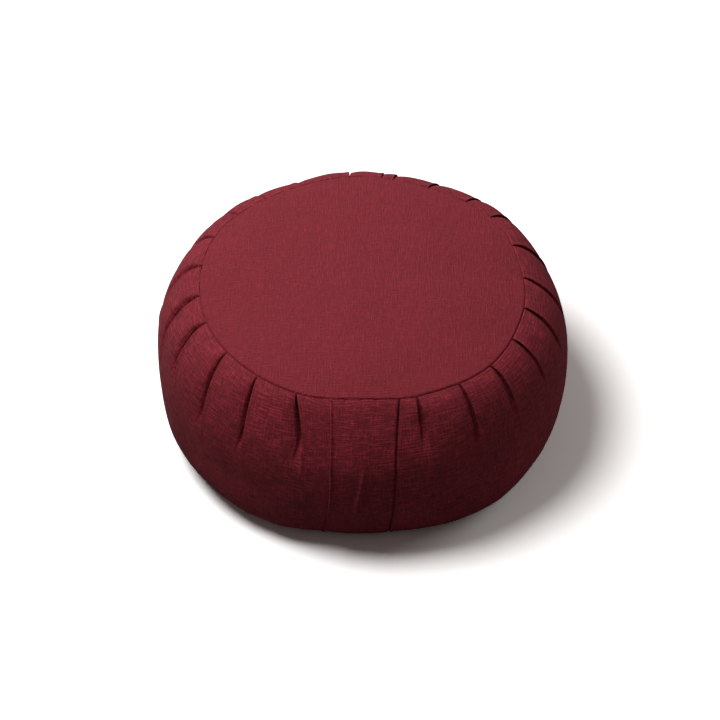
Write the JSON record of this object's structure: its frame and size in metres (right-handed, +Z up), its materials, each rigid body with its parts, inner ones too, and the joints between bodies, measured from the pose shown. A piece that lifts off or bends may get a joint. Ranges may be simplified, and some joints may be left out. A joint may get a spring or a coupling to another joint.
{
  "type": "zafu meditation cushion",
  "caption": "Round firm floor cushion with a crowned top panel, a knife-pleated side strip and a flat closing flap.",
  "frame": {"origin": "on the floor, under the middle of the cushion", "axes": "+Z up through the middle of both round panels; the closing flap faces -Y"},
  "size_m": [0.3499, 0.35, 0.155],
  "materials": {
    "side_cotton": "burgundy slub cotton, plain weave, matt",
    "panel_cotton": "burgundy slub cotton, plain weave, matt",
    "flap_cotton": "burgundy slub cotton, two layers, matt"
  },
  "bodies": {
    "root": {"pleated_side": "side_cotton", "top_panel": "panel_cotton", "bottom_panel": "panel_cotton", "closing_flap": "flap_cotton"}
  },
  "joints": []
}
